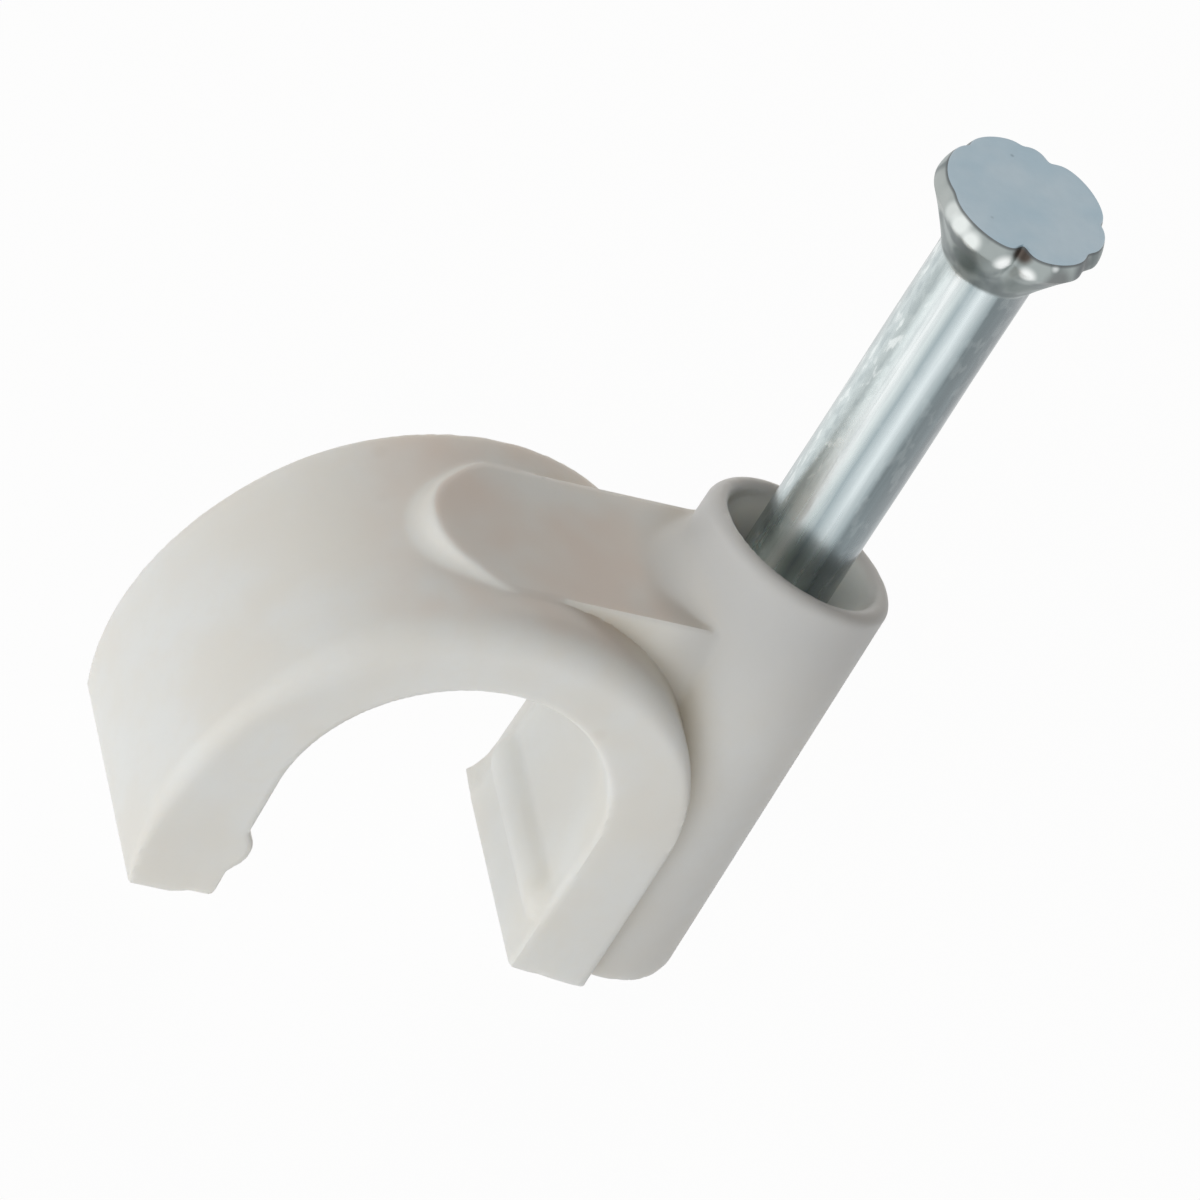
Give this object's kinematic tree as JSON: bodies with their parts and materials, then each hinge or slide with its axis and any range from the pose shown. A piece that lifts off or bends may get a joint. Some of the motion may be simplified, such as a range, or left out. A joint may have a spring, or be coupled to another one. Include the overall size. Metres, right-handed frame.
{
  "type": "cable clip",
  "caption": "Moulded off-white clip that hooks over a round cable, with a zinc-plated nail standing in the boss at its side, ready to be driven into a wall.",
  "frame": {"origin": "on the nail's axis in the plane of the wall, under the boss", "axes": "+Z stands out of the wall along the nail, the cable runs along Y, and the hook lies on the -X side of the nail"},
  "size_m": [0.0161, 0.0066, 0.0245],
  "materials": {
    "body_polymer": "off-white moulded polymer, slightly translucent, satin with faint flow mottling",
    "nail_steel": "bright zinc plating over hardened steel, with fine drawing streaks along the shank"
  },
  "bodies": {
    "root": {"clip_body": "body_polymer", "nail": "nail_steel"}
  },
  "joints": []
}
